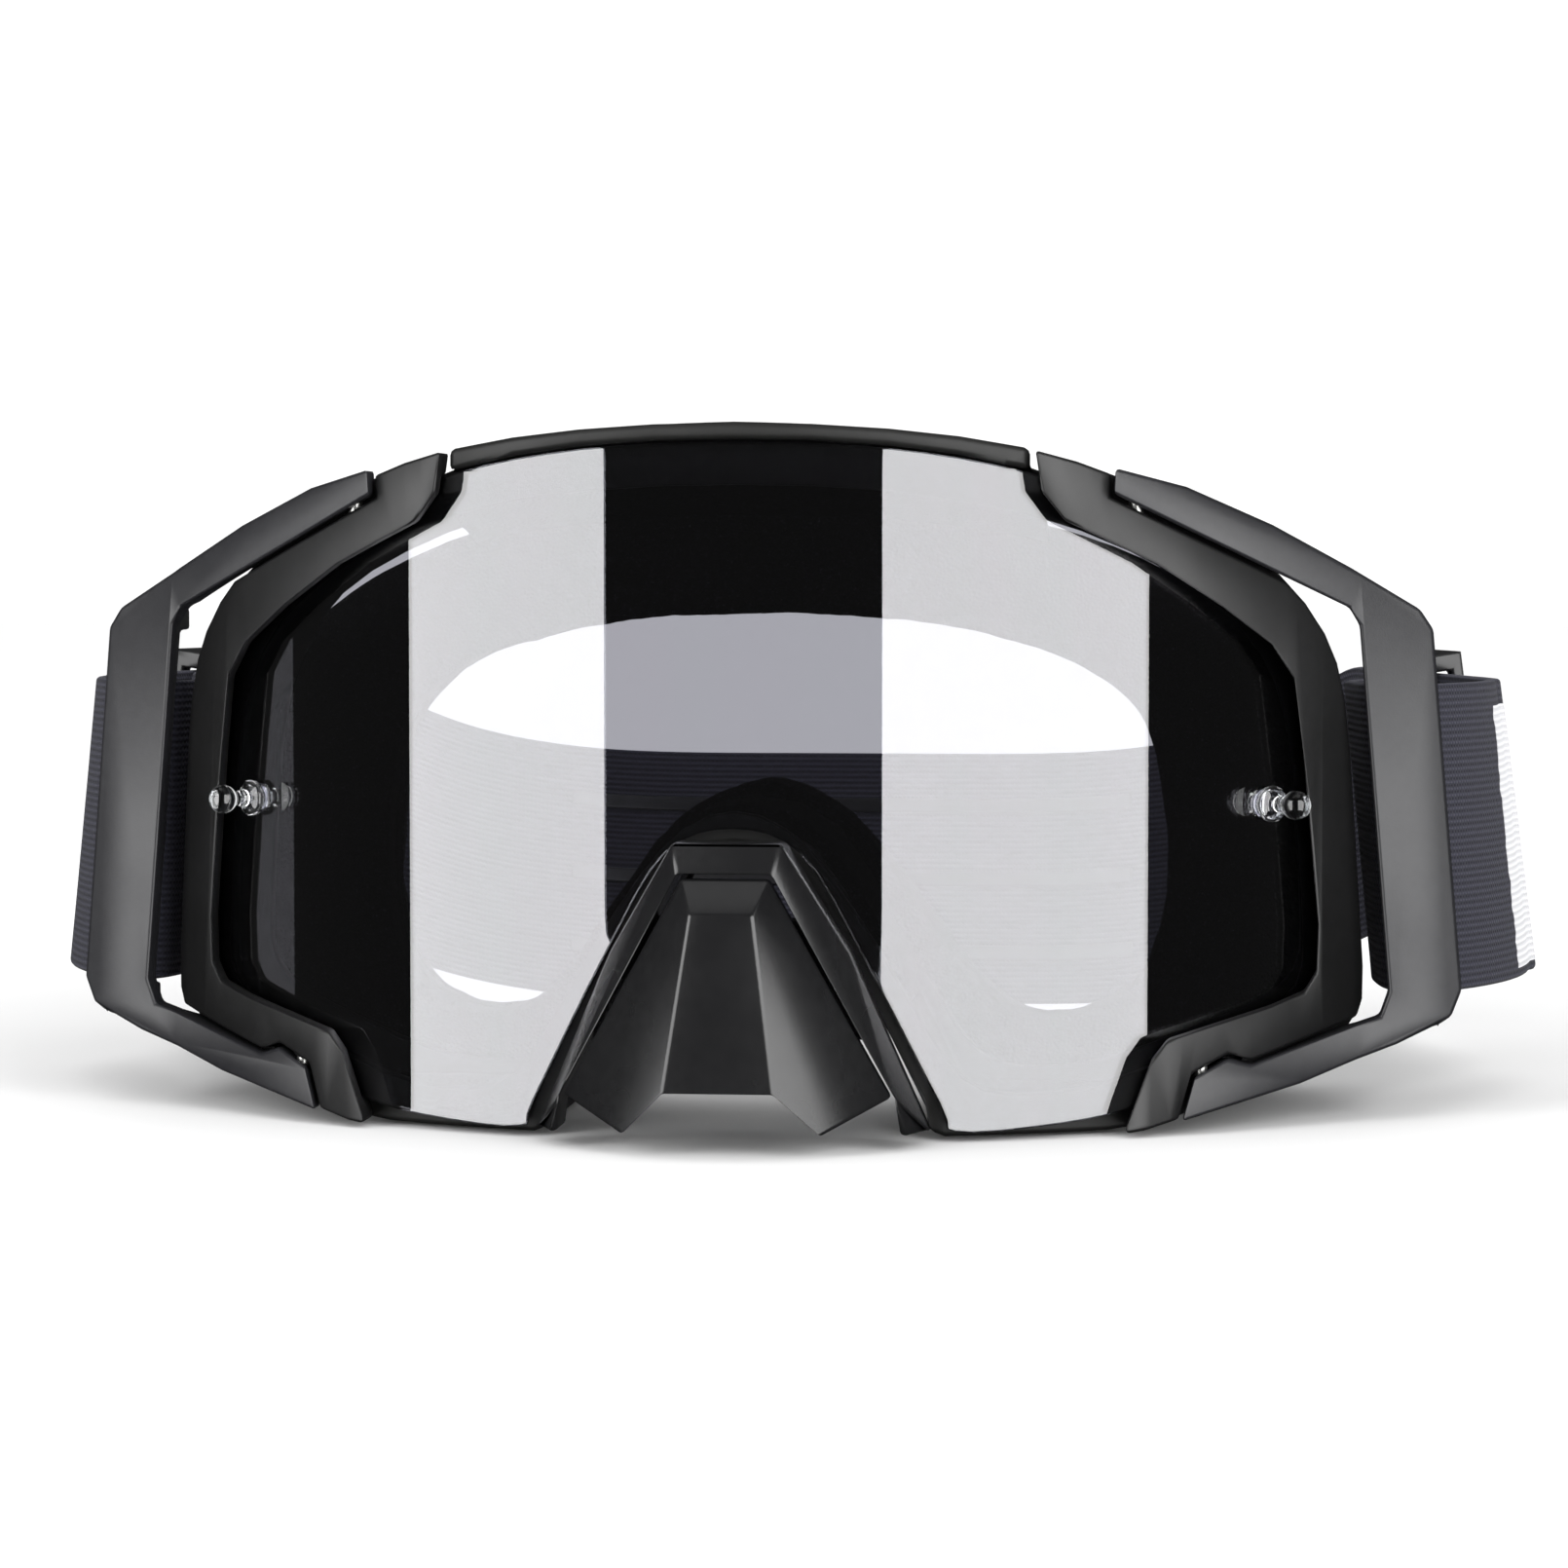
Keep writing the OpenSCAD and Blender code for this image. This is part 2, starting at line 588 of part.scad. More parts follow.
// Corners of the band's section at point i of a route, from_out and to_out off its middle line
function section(route, i, from_out, to_out, low, high) =
  let (n = len(route), p = route[i], d = unit(route[min(n - 1, i + 1)] - route[max(0, i - 1)]),
    out = [d[1], -d[0], 0], up = lean_at(p), m = [p[0], p[1], middle_z(p)])
  [m + out * from_out + up * low, m + out * to_out + up * low,
   m + out * to_out + up * high, m + out * from_out + up * high];
module band(route, from_out, to_out, low, high, skip = 0) {
  stations = [for (i = [skip:len(route) - 1 - skip])
    section(route, i, from_out, to_out, low, high)];
  n = len(stations);
  sides = [for (i = [0:n - 2], k = [0:3]) let (a = 4 * i + k, b = 4 * i + (k + 1) % 4)
    each [[a, b, b + 4], [a, b + 4, a + 4]]];
  polyhedron([for (corners = stations) each corners], concat([[3, 2, 1], [3, 1, 0]], sides,
    [[4 * n - 4, 4 * n - 3, 4 * n - 2], [4 * n - 4, 4 * n - 2, 4 * n - 1]]), convexity = 8);
}
module strap() {
  color("#34343a") band(back_route, -strap_t / 2, strap_t / 2, -strap_w / 2, strap_w / 2);
}
module strap_end(side) {
  color("#34343a") mirror_x(side)
    band(end_route, -strap_t / 2, strap_t / 2, -strap_w / 2, strap_w / 2);
}
bead_w = 2.4;
bead_t = 0.7;
bead_gap = 0.02;
bead_count = 3;
module strap_grip_beads() {
  skip = len([for (p = back_half) if (p[1] < strap_back - 8) p]);
  color("#1d1d20") for (k = [0:bead_count - 1]) {
    mid = (k - (bead_count - 1) / 2) * strap_w / 3.4;
    band(back_route, -strap_t / 2 - bead_t, -strap_t / 2 - bead_gap,
      mid - bead_w / 2, mid + bead_w / 2, skip);
  }
}
slider_rail = 2.6;
slider_bar = 2.8;
slider_t = 1.8;
module strap_slider(side) {
  rail_in = -layer_gap + strap_t / 2 + slider_gap;
  rail_out = strap_t / 2 + slider_gap + slider_t;
  clear = strap_w / 2 + slider_gap;
  color("#1c1c1f") mirror_x(side)
    translate([slider_at[0], slider_at[1], strap_low + strap_w / 2])
    rotate([0, 0, atan2(run_dir[1], run_dir[0])]) rotate([-strap_lean, 0, 0]) {
      // X runs along the strap and -Y points out of it
      for (end = [-1, 1]) {
        translate([-slider_l / 2, -rail_out, end > 0 ? clear : -clear - slider_rail])
          cube([slider_l, rail_out - rail_in, slider_rail]);
        translate([end > 0 ? slider_l / 2 - slider_bar : -slider_l / 2, -rail_out, -clear - eps])
          cube([slider_bar, slider_t, 2 * clear + 2 * eps]);
      }
      translate([-slider_bar / 2, -rail_in - (layer_gap - strap_t) / 2, -clear - eps])
        cube([slider_bar, (layer_gap - strap_t) / 2, 2 * clear + 2 * eps]);
    }
}

centred() frame();
centred() lens();
centred() lens_gasket();
centred() tear_off_post(1);  // tear_off_post_left
centred() tear_off_post(-1);  // tear_off_post_right
centred() side_cover(1);  // side_cover_left
centred() side_cover(-1);  // side_cover_right
centred() nose_guard();
centred() nose_guard_plate();
centred() outrigger(1);  // outrigger_left
centred() outrigger(-1);  // outrigger_right
centred() pivot_pins(1);  // pivot_pins_left
centred() pivot_pins(-1);  // pivot_pins_right
centred() face_foam_base();
centred() face_foam_mid();
centred() face_foam_skin();
centred() nose_foam();
centred() vent_foam_top();
centred() vent_foam_bottom();
centred() strap();
centred() strap_end(1);  // strap_end_left
centred() strap_end(-1);  // strap_end_right
centred() strap_slider(1);  // strap_slider_left
centred() strap_slider(-1);  // strap_slider_right
centred() strap_grip_beads();
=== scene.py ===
# %% [markdown]
# # Motocross goggles
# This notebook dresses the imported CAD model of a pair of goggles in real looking
# surfaces. The CAD pieces are the fixed frame: we never move them. Where a piece
# is soft, or where its edges need rounding, we make a new piece in the same place.

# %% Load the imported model
import math
import bmesh
import bpy
from mathutils import Matrix, Vector, noise
from mathutils.bvhtree import BVHTree


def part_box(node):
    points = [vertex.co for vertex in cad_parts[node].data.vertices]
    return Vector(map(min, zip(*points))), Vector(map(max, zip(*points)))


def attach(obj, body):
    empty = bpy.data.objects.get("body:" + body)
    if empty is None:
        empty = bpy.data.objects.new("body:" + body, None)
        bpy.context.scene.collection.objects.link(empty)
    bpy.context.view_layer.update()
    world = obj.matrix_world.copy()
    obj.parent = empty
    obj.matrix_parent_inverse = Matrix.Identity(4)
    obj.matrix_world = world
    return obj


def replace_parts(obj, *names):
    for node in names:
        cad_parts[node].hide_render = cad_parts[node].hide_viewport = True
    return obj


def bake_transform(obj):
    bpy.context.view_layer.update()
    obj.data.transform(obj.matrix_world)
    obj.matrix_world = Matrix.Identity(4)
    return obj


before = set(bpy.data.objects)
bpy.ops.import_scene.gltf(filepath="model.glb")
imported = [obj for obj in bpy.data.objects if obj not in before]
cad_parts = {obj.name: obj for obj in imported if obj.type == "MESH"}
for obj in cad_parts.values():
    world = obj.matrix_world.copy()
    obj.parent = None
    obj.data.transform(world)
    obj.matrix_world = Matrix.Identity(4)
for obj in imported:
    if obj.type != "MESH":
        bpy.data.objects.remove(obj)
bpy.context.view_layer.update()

# %% [markdown]
# ## Where things are
# The goggles are drawn in millimetres, with y = 0 at the front of the lens, and
# y growing towards the head. The lens's own box tells us where that front lies
# in the model, so nothing has to be fitted by eye.

# %% Millimetres of the goggles to metres of the scene
MM = 0.001
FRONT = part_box("lens")[0].y / MM
LENS_R = 100.0
LENS_Y = 100.0
FACE_Y = 170.0


def place(x, y, z):
    """A point of the goggles in millimetres, as a point of the scene."""
    return Vector((x, y + FRONT, z)) * MM


def on_cylinder(radius, x, centre=LENS_Y):
    """Depth of the cylinder's front face at x."""
    return centre - math.sqrt(radius * radius - x * x)


def eased(t):
    t = min(1.0, max(0.0, t))
    return t * t * (3 - 2 * t)


print("lens front at y =", round(FRONT, 2), "mm")

# %% [markdown]
# ## Colour and nodes
# Colours are written as sRGB hex, as a paint card gives them. The shader works in
# linear light, so one function converts them. One more adds a node with its
# settings and its links, and every material below is made with it.

# %% Colour and node helpers
def linear(code):
    parts = [int(code[i:i + 2], 16) / 255 for i in (1, 3, 5)]
    return tuple(c / 12.92 if c <= 0.04045 else ((c + 0.055) / 1.055) ** 2.4 for c in parts) + (1.0,)


def add(tree, kind, inputs=None, **settings):
    made = tree.nodes.new(kind)
    for name, value in settings.items():
        setattr(made, name, value)
    for socket, value in (inputs or {}).items():
        if isinstance(value, bpy.types.NodeSocket):
            tree.links.new(value, made.inputs[socket])
        else:
            made.inputs[socket].default_value = value
    return made


def start_material(name):
    material = bpy.data.materials.new(name)
    material.use_nodes = True
    tree = material.node_tree
    tree.nodes.clear()
    shader = add(tree, "ShaderNodeBsdfPrincipled")
    add(tree, "ShaderNodeOutputMaterial", {"Surface": shader.outputs[0]})
    where = add(tree, "ShaderNodeTexCoord")
    return material, tree, shader, where.outputs["Object"]


# %% [markdown]
# ## Moulded plastic
# The frame is soft polyurethane and the covers are nylon. Both come out of a steel
# mould whose face was spark eroded, so they carry a fine pebbled grain. A real
# grain is about 0.1 mm, too fine to show here, so it is drawn at 0.3 mm. A second,
# slow noise makes the gloss uneven, as handling does.

# %% A moulded plastic from its colour, gloss and grain
def moulded(name, dark, light, roughness, grain_mm, height_mm, ior=1.5):
    material, tree, shader, where = start_material(name)
    grain = add(tree, "ShaderNodeTexNoise", {"Vector": where, "Scale": 1 / (grain_mm * MM),
                "Detail": 2.0, "Roughness": 0.6})
    cloud = add(tree, "ShaderNodeTexNoise", {"Vector": where, "Scale": 1 / (22 * MM), "Detail": 4.0})
    dust = add(tree, "ShaderNodeTexNoise", {"Vector": where, "Scale": 1 / (1.3 * MM), "Detail": 3.0})
    share = add(tree, "ShaderNodeMath", {0: cloud.outputs["Fac"], 1: dust.outputs["Fac"]},
                operation="MULTIPLY")
    colour = add(tree, "ShaderNodeValToRGB", {"Fac": share.outputs[0]})
    colour.color_ramp.elements[0].position, colour.color_ramp.elements[0].color = 0.1, linear(dark)
    colour.color_ramp.elements[1].position, colour.color_ramp.elements[1].color = 0.45, linear(light)
    gloss = add(tree, "ShaderNodeMapRange", {"Value": cloud.outputs["Fac"], "From Min": 0.3, "From Max": 0.7,
                "To Min": roughness - 0.05, "To Max": roughness + 0.06})
    bump = add(tree, "ShaderNodeBump", {"Height": grain.outputs["Fac"], "Distance": height_mm * MM,
               "Strength": 0.6})
    tree.links.new(colour.outputs["Color"], shader.inputs["Base Color"])
    tree.links.new(gloss.outputs["Result"], shader.inputs["Roughness"])
    tree.links.new(bump.outputs["Normal"], shader.inputs["Normal"])
    shader.inputs["IOR"].default_value = ior
    print("material", name)
    return material


polyurethane_frame = moulded("matte_polyurethane_spark_eroded", "#0a0a09", "#121210", 0.58, 0.34, 0.02)
nylon_cover = moulded("satin_nylon_black", "#0b0b0b", "#111112", 0.46, 0.3, 0.018, 1.53)
nylon_outrigger = moulded("satin_nylon_graphite", "#18181b", "#202023", 0.42, 0.32, 0.02, 1.53)
nylon_guard = moulded("satin_nylon_guard", "#101011", "#171718", 0.25, 0.3, 0.012, 1.53)
acetal_slider = moulded("smooth_acetal", "#101011", "#171718", 0.28, 0.5, 0.004, 1.48)
silicone_bead = moulded("printed_silicone", "#141416", "#1c1c1f", 0.36, 0.4, 0.01, 1.43)
closed_cell_seal = moulded("closed_cell_seal", "#0e0e0e", "#171717", 0.8, 0.5, 0.08, 1.45)

# %% [markdown]
# ## Clear polycarbonate
# The lens is a hard-coated sheet with a light smoke tint. Light crosses its front
# and its back face, so the tint is applied twice. The hard coat is a thin film,
# dip coated and drained downwards: it lends the reflections faint upright streaks
# of pink and green, which we draw as a slow noise, stretched along Z, on the
# tint of the reflection. The posts are the same plastic, without tint.

# %% Lens and post plastics
def clear_plastic(name, tint, roughness, coat):
    material, tree, shader, where = start_material(name)
    drained = add(tree, "ShaderNodeMapping", {"Vector": where, "Scale": (1, 1, 0.12)})
    streaks = add(tree, "ShaderNodeTexNoise", {"Vector": drained.outputs["Vector"], "Scale": 1 / (9 * MM),
                  "Detail": 3.0})
    film = add(tree, "ShaderNodeValToRGB", {"Fac": streaks.outputs["Fac"]})
    film.color_ramp.elements[0].position, film.color_ramp.elements[0].color = 0.35, linear("#f6e9f1")
    film.color_ramp.elements[1].position, film.color_ramp.elements[1].color = 0.65, linear("#e9f4ee")
    if coat:
        tree.links.new(film.outputs["Color"], shader.inputs["Specular Tint"])
        shader.inputs["Coat Weight"].default_value = coat
        shader.inputs["Coat Roughness"].default_value = 0.01
    shader.inputs["Base Color"].default_value = linear(tint)
    shader.inputs["Roughness"].default_value = roughness
    shader.inputs["Transmission Weight"].default_value = 1.0
    shader.inputs["IOR"].default_value = 1.58
    print("material", name)
    return material


smoke_polycarbonate = clear_plastic("hard_coated_smoke_polycarbonate", "#a6a6ae", 0.0, 1.0)
clear_polycarbonate = clear_plastic("polished_clear_polycarbonate", "#f4f6f7", 0.03, 0.0)

# %% [markdown]
# ## Foam and fleece
# Face foam is open-cell polyurethane: matte, with cells of about half a
# millimetre. The fleece that touches the skin is brushed polyester: deep black,
# with a faint sheen and an uneven pile. Most light is lost between the cells, so
# the surface reflects far less than solid plastic, which its low IOR says.

# %% Foam and fleece
def soft_pile(name, dark, light, cell_mm, height_mm, sheen):
    material, tree, shader, where = start_material(name)
    cells = add(tree, "ShaderNodeTexVoronoi", {"Vector": where, "Scale": 1 / (cell_mm * MM)})
    tufts = add(tree, "ShaderNodeTexNoise", {"Vector": where, "Scale": 1 / (4 * cell_mm * MM), "Detail": 5.0})
    colour = add(tree, "ShaderNodeValToRGB", {"Fac": tufts.outputs["Fac"]})
    colour.color_ramp.elements[0].position, colour.color_ramp.elements[0].color = 0.3, linear(dark)
    colour.color_ramp.elements[1].position, colour.color_ramp.elements[1].color = 0.7, linear(light)
    both = add(tree, "ShaderNodeMath", {0: cells.outputs["Distance"], 1: tufts.outputs["Fac"]},
               operation="ADD")
    bump = add(tree, "ShaderNodeBump", {"Height": both.outputs[0], "Distance": height_mm * MM,
               "Strength": 0.8})
    tree.links.new(colour.outputs["Color"], shader.inputs["Base Color"])
    tree.links.new(bump.outputs["Normal"], shader.inputs["Normal"])
    shader.inputs["Roughness"].default_value = 0.95
    shader.inputs["IOR"].default_value = 1.06
    shader.inputs["Sheen Weight"].default_value = sheen
    shader.inputs["Sheen Roughness"].default_value = 0.5
    print("material", name)
    return material


open_cell_foam = soft_pile("open_cell_foam", "#060607", "#0c0c0d", 0.6, 0.35, 0.0)
firm_foam = soft_pile("firm_base_foam", "#070708", "#0e0e0f", 0.5, 0.25, 0.0)
brushed_fleece = soft_pile("brushed_polyester_fleece", "#060607", "#0d0d0e", 0.45, 0.4, 0.03)

# %% [markdown]
# ## Knitted elastic
# The strap is a warp-knitted elastic band. Its rubber threads run along it, which
# gives fine ribs, and the cover yarn crosses them in small stitches. The band's
# own UV map holds millimetres along and across it, so the knit follows every
# turn. Ribs are 0.9 mm apart, a little coarser than the real 0.6 mm, to show.

# %% Knitted elastic, and its white print
RIB_MM, STITCH_MM = 0.9, 0.7


def knitted(name, dark, light, fuzz):
    material, tree, shader, _ = start_material(name)
    band = add(tree, "ShaderNodeUVMap", uv_map="band")
    parts = add(tree, "ShaderNodeSeparateXYZ", {"Vector": band.outputs["UV"]})
    rib = add(tree, "ShaderNodeMath", {0: parts.outputs["Y"], 1: 2 * math.pi / RIB_MM},
              operation="MULTIPLY")
    rib_wave = add(tree, "ShaderNodeMath", {0: rib.outputs[0]}, operation="SINE")
    stitch = add(tree, "ShaderNodeMath", {0: parts.outputs["X"], 1: 2 * math.pi / STITCH_MM},
                 operation="MULTIPLY")
    stitch_wave = add(tree, "ShaderNodeMath", {0: stitch.outputs[0]}, operation="SINE")
    crossed = add(tree, "ShaderNodeMath", {0: rib_wave.outputs[0], 1: stitch_wave.outputs[0]},
                  operation="MULTIPLY")
    yarn = add(tree, "ShaderNodeTexNoise", {"Vector": band.outputs["UV"], "Scale": 1.4, "Detail": 5.0})
    height = add(tree, "ShaderNodeMath", {0: crossed.outputs[0], 1: 0.35, 2: rib_wave.outputs[0]},
                 operation="MULTIPLY_ADD")
    height = add(tree, "ShaderNodeMath", {0: yarn.outputs["Fac"], 1: fuzz, 2: height.outputs[0]},
                 operation="MULTIPLY_ADD")
    # The colour follows the knit's height: the grooves between ribs and stitches are painted darker, a
    # painted shade, and the crests lighter; the yarn noise adds random tone.
    painted_shade = add(tree, "ShaderNodeMapRange", {"Value": height.outputs[0], "From Min": -0.8, "From Max": 2.4})
    colour = add(tree, "ShaderNodeValToRGB", {"Fac": painted_shade.outputs["Result"]})
    colour.color_ramp.elements[0].color, colour.color_ramp.elements[1].color = linear(dark), linear(light)
    bump = add(tree, "ShaderNodeBump", {"Height": height.outputs[0], "Distance": 0.12 * MM, "Strength": 0.9})
    tree.links.new(colour.outputs["Color"], shader.inputs["Base Color"])
    tree.links.new(bump.outputs["Normal"], shader.inputs["Normal"])
    shader.inputs["Roughness"].default_value = 0.85
    shader.inputs["IOR"].default_value = 1.25
    shader.inputs["Sheen Weight"].default_value = 0.05
    print("material", name)
    return material


knitted_elastic = knitted("knitted_elastic_black", "#1d1d24", "#363641", 1.2)
white_print = knitted("screen_print_white", "#b4b4b7", "#dadadc", 0.5)

# %% [markdown]
# ## Steel pins
# Two short pins hold each outrigger. They are plain drawn wire, cut to length, so
# they show faint lines along them. Only their ends are ever seen.

# %% Drawn steel
drawn_steel, tree, shader, where = start_material("drawn_steel")
lines = add(tree, "ShaderNodeTexNoise", {"Vector": where, "Scale": 1 / (0.4 * MM), "Detail": 2.0})
gloss = add(tree, "ShaderNodeMapRange", {"Value": lines.outputs["Fac"], "To Min": 0.25, "To Max": 0.45})
tree.links.new(gloss.outputs["Result"], shader.inputs["Roughness"])
shader.inputs["Base Color"].default_value = linear("#b9b9b6")
shader.inputs["Metallic"].default_value = 1.0
print("material", drawn_steel.name)

# %% [markdown]
# ## From mesh to piece
# A finished piece sits at the origin with its place in its mesh. Smooth shading is
# broken where two faces meet at a clear angle, so flat facets stay flat.

# %% Turn a bmesh into a piece that rides on a body
def make_piece(name, bm, material, body=None, crease=35):
    mesh = bpy.data.meshes.new(name)
    bm.to_mesh(mesh)
    bm.free()
    mesh.materials.append(material)
    mesh.shade_smooth()
    mesh.set_sharp_from_angle(angle=math.radians(crease))
    piece = bpy.data.objects.new(name, mesh)
    bpy.context.scene.collection.objects.link(piece)
    if body:
        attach(piece, body)
    print(name, len(mesh.polygons), "faces")
    return piece


# %% [markdown]
# ## Hard moulded pieces
# The CAD shapes of the frame, the covers, the outriggers, the guard and the
# sliders are right, but their edges are razor sharp, and no moulded edge is. We
# merge a copy of each, dissolve its flat triangles into whole faces, and bevel
# the edges that turn by a clear angle. The small round catches the light.

# %% Copy a CAD piece with moulded edges
MOULD_TURN = 24


def moulded_copy(node, radius_mm, material, body):
    bm = bmesh.new()
    bm.from_mesh(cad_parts[node].data)
    bmesh.ops.remove_doubles(bm, verts=bm.verts, dist=0.03 * MM)
    bmesh.ops.dissolve_limit(bm, angle_limit=math.radians(1.2), verts=bm.verts, edges=bm.edges)
    bm.normal_update()
    sharp_shape = BVHTree.FromBMesh(bm)
    edges = [e for e in bm.edges if len(e.link_faces) == 2
             and e.calc_face_angle(0) > math.radians(MOULD_TURN)]
    bmesh.ops.bevel(bm, geom=edges, offset=radius_mm * MM, offset_type="OFFSET", segments=2,
                    profile=0.5, affect="EDGES", material=-1, clamp_overlap=False, loop_slide=True)
    # Where edges meet at a very flat angle, a bevel can throw a point far off: it goes back.
    for v in bm.verts:
        nearest, _, _, distance = sharp_shape.find_nearest(v.co)
        if distance > 0.75 * radius_mm * MM:
            v.co = nearest
    bmesh.ops.dissolve_degenerate(bm, edges=bm.edges, dist=0.01 * MM)
    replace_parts(make_piece(node + "_moulded", bm, material, body), node)


SIDES = ("left", "right")
moulded_copy("frame", 0.7, polyurethane_frame, "root")
for side in SIDES:
    moulded_copy("side_cover_" + side, 0.45, nylon_cover, "root")
    moulded_copy("outrigger_" + side, 0.5, nylon_outrigger, "outrigger_" + side)
    moulded_copy("strap_slider_" + side, 0.4, acetal_slider, "strap_slider_" + side)
moulded_copy("nose_guard", 0.45, nylon_guard, "nose_guard")
moulded_copy("nose_guard_plate", 0.35, nylon_guard, "nose_guard")
moulded_copy("lens_gasket", 0.15, closed_cell_seal, "root")

# %% Pins keep their CAD shape
for side in SIDES:
    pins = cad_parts["pivot_pins_" + side]
    pins.data.materials.clear()
    pins.data.materials.append(drawn_steel)

# %% [markdown]
# ## The lens
# The real lens is cut from a flat sheet and bent to a cylinder. We do the same:
# one flat face with the lens's outline, sliced into cells so that it can bend,
# then pushed onto the cylinder. Its edge is ground round. The crease angle is
# small, so that the rim's shading doesn't bend the reflections beside it.

# %% Outline of the lens, and the sheet bent to its cylinder
def smooth_line(points, steps):
    """Catmull-Rom curve through all but the first and last points."""
    line = []
    for i in range(1, len(points) - 2):
        a, b, c, d = (Vector(p) for p in points[i - 1:i + 3])
        for k in range(steps):
            t = k / steps
            line.append(0.5 * (2 * b + (c - a) * t + (2 * a - 5 * b + 4 * c - d) * t * t
                               + (3 * b - a - 3 * c + d) * t ** 3))
    return line + [Vector(points[-2])]


def whole_outline(half, steps):
    """Closed outline from its right half, which runs from the top middle to the bottom middle."""
    guided = [(-half[1][0], half[1][1])] + half + [(-half[-2][0], half[-2][1])]
    right = [Vector((p.x, max(0.0, p.y))) for p in smooth_line(guided, steps)]
    return right + [Vector((-p.x, p.y)) for p in reversed(right[1:-1])]


LENS_SIDE, LENS_TOP = 78, 90


def bent_sheet(outline, front_r, back_r, edge_mm):
    bm = bmesh.new()
    face = bm.faces.new([bm.verts.new(place(p.x, 0, p.y)) for p in outline])
    cuts = [((x * MM, 0, 0), (1, 0, 0)) for x in range(-LENS_SIDE, LENS_SIDE + 1, 2)]
    cuts += [((0, 0, (z + 0.5) * MM), (0, 0, 1)) for z in range(2, LENS_TOP, 4)]
    for point, normal in cuts:
        bmesh.ops.bisect_plane(bm, geom=bm.verts[:] + bm.edges[:] + bm.faces[:], dist=1e-7,
                               plane_co=point, plane_no=normal)
    for v in bm.verts:
        v.co.y = (on_cylinder(front_r, v.co.x / MM) + FRONT) * MM
    back = bmesh.ops.extrude_face_region(bm, geom=bm.faces[:])
    for v in (g for g in back["geom"] if isinstance(g, bmesh.types.BMVert)):
        v.co.y = (on_cylinder(back_r, v.co.x / MM) + FRONT) * MM
    bmesh.ops.recalc_face_normals(bm, faces=bm.faces)
    rim = [e for e in bm.edges if len(e.link_faces) == 2 and e.calc_face_angle(0) > math.radians(40)]
    bmesh.ops.bevel(bm, geom=rim, offset=edge_mm * MM, offset_type="OFFSET", segments=2, profile=0.5,
                    affect="EDGES", material=-1, clamp_overlap=False)
    return bm


lens_half = [(0, 90), (20, 89.2), (37, 86.3), (50, 81.4), (61, 75.2), (69, 68.2), (73.8, 60),
             (75.8, 50), (77.2, 34), (78, 20), (76, 14), (68, 10), (58, 6.2), (50, 2.8),
             (40, 1.3), (28.5, 0.9), (26.5, 4.5), (16.6, 24), (8.8, 37), (0, 40.2)]
lens = make_piece("lens_sheet", bent_sheet(whole_outline(lens_half, 4), LENS_R, LENS_R - 1.25, 0.25),
                  smoke_polycarbonate, "root", crease=12)
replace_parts(lens, "lens")

# %% [markdown]
# ## Tear-off posts
# Each post is a turned shape: rivet head, shank, collar, neck and ball. We draw
# half its section once and spin it round its axis, then stand it on the lens.

# %% Spin a post and stand it on the lens
def post_profile(bm):
    ball_r, ball_at, top = 1.95, 5.2, 7.15
    ball = [(ball_r * math.cos(a), ball_at + ball_r * math.sin(a))
            for a in (math.radians(d) for d in range(-55, 90, 12))]
    rivet = [(0, -2.3), (1.75, -2.3), (1.95, -2.1), (1.95, -1.6), (1.3, -1.5), (1.3, 0.05)]
    collar = [(2.2, 0.05), (2.4, 0.25), (2.4, 0.95), (2.2, 1.15), (1.35, 1.3)]
    section = rivet + collar + [(1.05, 1.7), (1.05, 3.4)] + ball + [(0, top)]
    verts = [bm.verts.new((x * MM, 0, z * MM)) for x, z in section]
    return [bm.edges.new(pair) for pair in zip(verts, verts[1:])]


POST_X, POST_Z = 68.7, 42.4
for side, sign in (("left", 1), ("right", -1)):
    bm = bmesh.new()
    edges = post_profile(bm)
    bmesh.ops.spin(bm, geom=bm.verts[:] + edges, cent=(0, 0, 0), axis=(0, 0, 1), dvec=(0, 0, 0),
                   angle=math.radians(360), steps=40, use_merge=True, use_duplicate=False)
    bmesh.ops.remove_doubles(bm, verts=bm.verts, dist=0.01 * MM)
    bmesh.ops.recalc_face_normals(bm, faces=bm.faces)
    turn = math.asin(POST_X / LENS_R)
    out = Vector((sign * math.sin(turn), -math.cos(turn), 0))
    stand = Matrix.Translation(place(sign * POST_X, on_cylinder(LENS_R, POST_X), POST_Z))
    bmesh.ops.transform(bm, matrix=stand @ out.to_track_quat("Z", "X").to_matrix().to_4x4(), verts=bm.verts)
    post = make_piece("post_" + side, bm, clear_polycarbonate, "root", crease=50)
    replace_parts(post, "tear_off_post_" + side)

# %% [markdown]
# ## Face foam
# Three layers are glued up and die cut: firm foam on the frame, softer foam, and
# fleece against the skin. The knife pulls the edges in a little and the layers
# swell between them, so each ring is crowned. Four loops per layer follow the
# frame's outline and the eye opening. We extrude one edge loop through them, round
# its corners and push the points about with noise, as cut foam is never flat.

# %% Outlines that the foam follows
frame_half = [(0, 92.4), (20, 91.6), (37, 89.3), (50, 85.2), (61, 79.6), (70, 72.8), (76, 65),
              (78.8, 56), (80.2, 40), (81.5, 20), (80.6, 13), (76, 8.5), (66, 4.6), (56, 1.4),
              (48, 0), (27, 0), (24.5, 4), (15.2, 23), (8, 35.2), (0, 38.4)]
eye_half = [(0, 67.4), (24, 65.8), (42, 60.5), (51, 53), (54, 42), (54.5, 28), (51, 17),
            (43, 12.4), (34, 13), (27, 19.5), (19.5, 30), (11, 40), (0, 44.6)]
FRAME_SIDE, FRAME_TOP, FRAME_WAIST = 81.5, 92.4, 46.0
SIDE_SLOPE, BROW_SLOPE = 14, 12
BEND_Y = on_cylinder(97.6, FRAME_SIDE)


